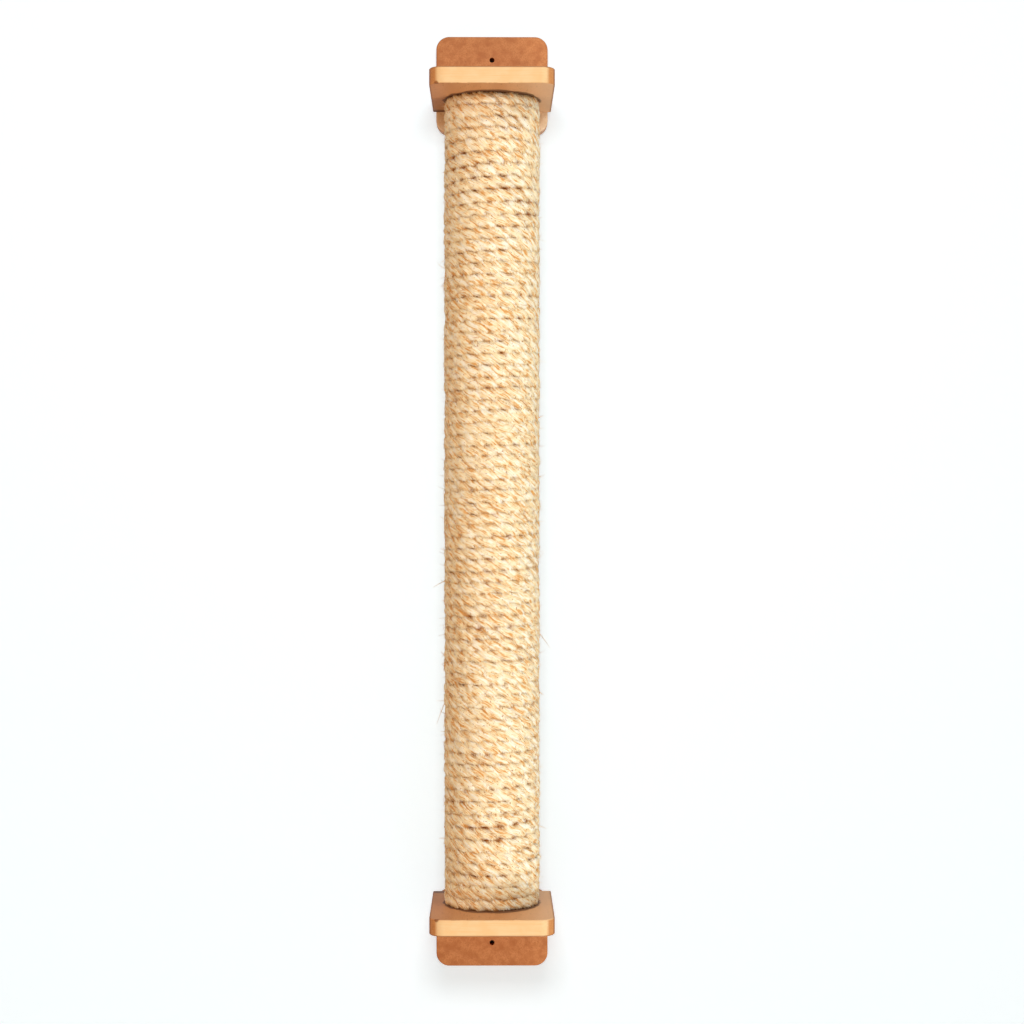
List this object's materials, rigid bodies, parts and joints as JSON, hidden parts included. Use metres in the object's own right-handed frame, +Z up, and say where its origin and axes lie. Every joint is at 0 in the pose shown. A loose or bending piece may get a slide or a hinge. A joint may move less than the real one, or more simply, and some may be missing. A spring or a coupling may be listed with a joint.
{
  "type": "wall mounted scratching post",
  "caption": "Upright rope-wound post held off a wall between two horizontal wooden shelves, each screwed to a rounded wall plate with a hole for a wall screw.",
  "frame": {"origin": "on the wall plane, half-way between the two wall-screw holes", "axes": "+Z up along the post, +Y into the wall, +X to the right for someone who faces the wall"},
  "size_m": [0.127, 0.167, 1.002],
  "materials": {
    "board": "oiled brown fibreboard, with the shelves' front edges left pale",
    "tube": "wound kraft board tube",
    "plug": "plain softwood disc",
    "rope": "three-strand twisted sisal, natural colour",
    "screw_steel": "bright zinc plating",
    "staple_steel": "galvanised wire"
  },
  "bodies": {
    "root": {"upper_wall_plate": "board", "lower_wall_plate": "board", "upper_shelf_plate": "board", "lower_shelf_plate": "board", "core_tube": "tube", "upper_end_plug": "plug", "lower_end_plug": "plug", "rope_winding": "rope", "upper_plug_screws": "screw_steel", "lower_plug_screws": "screw_steel", "upper_plate_screws": "screw_steel", "lower_plate_screws": "screw_steel", "upper_tube_staples": "staple_steel", "lower_tube_staples": "staple_steel", "upper_rope_staple": "staple_steel", "lower_rope_staple": "staple_steel"}
  },
  "joints": []
}
